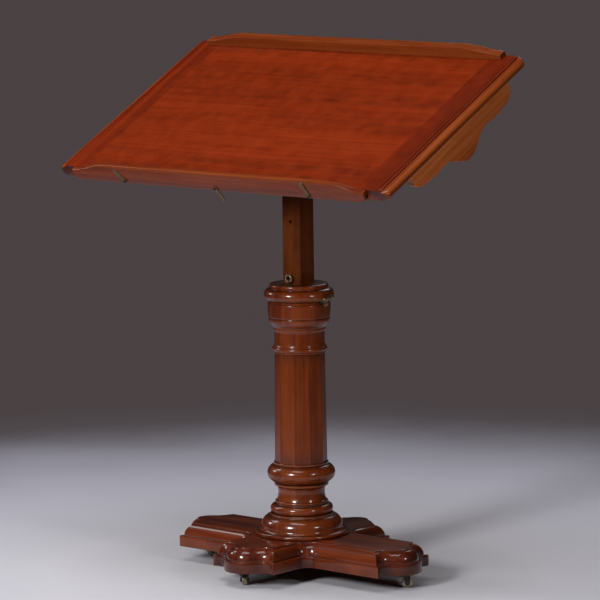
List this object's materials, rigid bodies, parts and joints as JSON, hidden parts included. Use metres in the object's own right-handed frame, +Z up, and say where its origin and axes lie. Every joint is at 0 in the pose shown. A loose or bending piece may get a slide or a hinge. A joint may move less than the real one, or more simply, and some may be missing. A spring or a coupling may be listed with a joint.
{
  "type": "album stand",
  "caption": "Adjustable mahogany album stand: tilting desk with a front ledge on a square rising post, a turned column and a moulded cross base on small swivel castors.",
  "frame": {"origin": "on the floor, in the middle of the space the stand takes up as it is set, with the column 20 mm behind it", "axes": "+Z up, +X to the reader's right along the desk's length, -Y towards the reader"},
  "size_m": [0.74, 0.4084, 0.9199],
  "materials": {
    "base_wood": "french-polished mahogany, quarter-round edges worn lighter",
    "column_wood": "french-polished turned mahogany",
    "post_wood": "french-polished mahogany, upright grain",
    "panel_wood": "french-polished red mahogany, grain side to side",
    "end_wood": "french-polished mahogany, grain front to back",
    "strip_wood": "french-polished mahogany, grain side to side",
    "apron_wood": "thinner polish on a lighter mahogany",
    "bearer_wood": "dull, thinly polished mahogany",
    "brass": "tarnished brass",
    "castor_brass": "worn, dull brass",
    "steel": "dark, oiled steel"
  },
  "bodies": {
    "stand": {"base_platform": "base_wood", "castor_plates": "castor_brass", "castor_screws": "castor_brass", "column_foot": "column_wood", "column_shaft": "column_wood", "capital": "column_wood", "centre_bolt": "steel", "centre_washer": "steel", "clamp_bush": "brass"},
    "castor_front": {"castor_fork_front": "castor_brass", "castor_axle_front": "steel"},
    "wheel_front": {"castor_wheel_front": "castor_brass"},
    "castor_right": {"castor_fork_right": "castor_brass", "castor_axle_right": "steel"},
    "wheel_right": {"castor_wheel_right": "castor_brass"},
    "castor_back": {"castor_fork_back": "castor_brass", "castor_axle_back": "steel"},
    "wheel_back": {"castor_wheel_back": "castor_brass"},
    "castor_left": {"castor_fork_left": "castor_brass", "castor_axle_left": "steel"},
    "wheel_left": {"castor_wheel_left": "castor_brass"},
    "post": {"post": "post_wood"},
    "clamp_screw": {"clamp_screw": "brass"},
    "ring_pin": {"ring_pin": "brass"},
    "pull_ring": {"pull_ring": "brass"},
    "desk": {"desk_panel": "panel_wood", "desk_end_left": "end_wood", "desk_end_right": "end_wood", "front_ledge": "strip_wood", "back_rail": "strip_wood", "side_apron_left": "apron_wood", "side_apron_right": "apron_wood", "bearer_left": "bearer_wood", "bearer_right": "bearer_wood", "bearer_screws": "brass", "rail_screws": "brass", "pivot_bolt": "steel", "pivot_washers": "brass", "clip_screws": "brass"},
    "wing_nut": {"wing_nut": "brass"},
    "page_clip_left": {"page_clip_left": "brass"},
    "page_clip_centre": {"page_clip_centre": "brass"},
    "page_clip_right": {"page_clip_right": "brass"}
  },
  "joints": [
    {"name": "castor_swivel_front", "type": "hinge", "parent": "stand", "child": "castor_front", "pos_m": [0, -0.132, 0.0226], "axis": [0, 0, 1], "continuous": true},
    {"name": "castor_roll_front", "type": "hinge", "parent": "castor_front", "child": "wheel_front", "pos_m": [-0.0059, -0.12521, 0.0095], "axis": [-0.7547, -0.6561, 0], "continuous": true},
    {"name": "castor_swivel_right", "type": "hinge", "parent": "stand", "child": "castor_right", "pos_m": [0.224, 0.02, 0.0226], "axis": [0, 0, 1], "continuous": true},
    {"name": "castor_roll_right", "type": "hinge", "parent": "castor_right", "child": "wheel_right", "pos_m": [0.23079, 0.02591, 0.0095], "axis": [-0.6561, 0.7547, 0], "continuous": true},
    {"name": "castor_swivel_back", "type": "hinge", "parent": "stand", "child": "castor_back", "pos_m": [0, 0.172, 0.0226], "axis": [0, 0, 1], "continuous": true},
    {"name": "castor_roll_back", "type": "hinge", "parent": "castor_back", "child": "wheel_back", "pos_m": [-0.00156, 0.18086, 0.0095], "axis": [-0.9848, -0.1736, 0], "continuous": true},
    {"name": "castor_swivel_left", "type": "hinge", "parent": "stand", "child": "castor_left", "pos_m": [-0.224, 0.02, 0.0226], "axis": [0, 0, 1], "continuous": true},
    {"name": "castor_roll_left", "type": "hinge", "parent": "castor_left", "child": "wheel_left", "pos_m": [-0.21721, 0.02591, 0.0095], "axis": [-0.6561, 0.7547, 0], "continuous": true},
    {"name": "post_height", "type": "slide", "parent": "stand", "child": "post", "axis": [0, 0, 1], "range_m": [0, 0.18]},
    {"name": "clamp_turn", "type": "hinge", "parent": "stand", "child": "clamp_screw", "pos_m": [0.03, 0.02, 0.482], "axis": [1, 0, 0], "range_deg": [0, 360]},
    {"name": "ring_pin_pull", "type": "slide", "parent": "post", "child": "ring_pin", "axis": [0, -1, 0], "range_m": [0, 0.06]},
    {"name": "pull_ring_swing", "type": "hinge", "parent": "ring_pin", "child": "pull_ring", "pos_m": [0, -0.007, 0.5108], "axis": [1, 0, 0], "range_deg": [-20, 85]},
    {"name": "desk_tilt", "type": "hinge", "parent": "post", "child": "desk", "pos_m": [0, 0.02, 0.758], "axis": [1, 0, 0], "range_deg": [-28, 35]},
    {"name": "wing_nut_turn", "type": "hinge", "parent": "desk", "child": "wing_nut", "pos_m": [0.05, 0.02, 0.758], "axis": [1, 0, 0], "range_deg": [0, 360]},
    {"name": "page_clip_turn_left", "type": "hinge", "parent": "desk", "child": "page_clip_left", "pos_m": [-0.208, -0.19167, 0.68962], "axis": [0, 0.8829, 0.4695], "continuous": true},
    {"name": "page_clip_turn_centre", "type": "hinge", "parent": "desk", "child": "page_clip_centre", "pos_m": [0, -0.19167, 0.68962], "axis": [0, 0.8829, 0.4695], "continuous": true},
    {"name": "page_clip_turn_right", "type": "hinge", "parent": "desk", "child": "page_clip_right", "pos_m": [0.208, -0.19167, 0.68962], "axis": [0, 0.8829, 0.4695], "continuous": true}
  ]
}
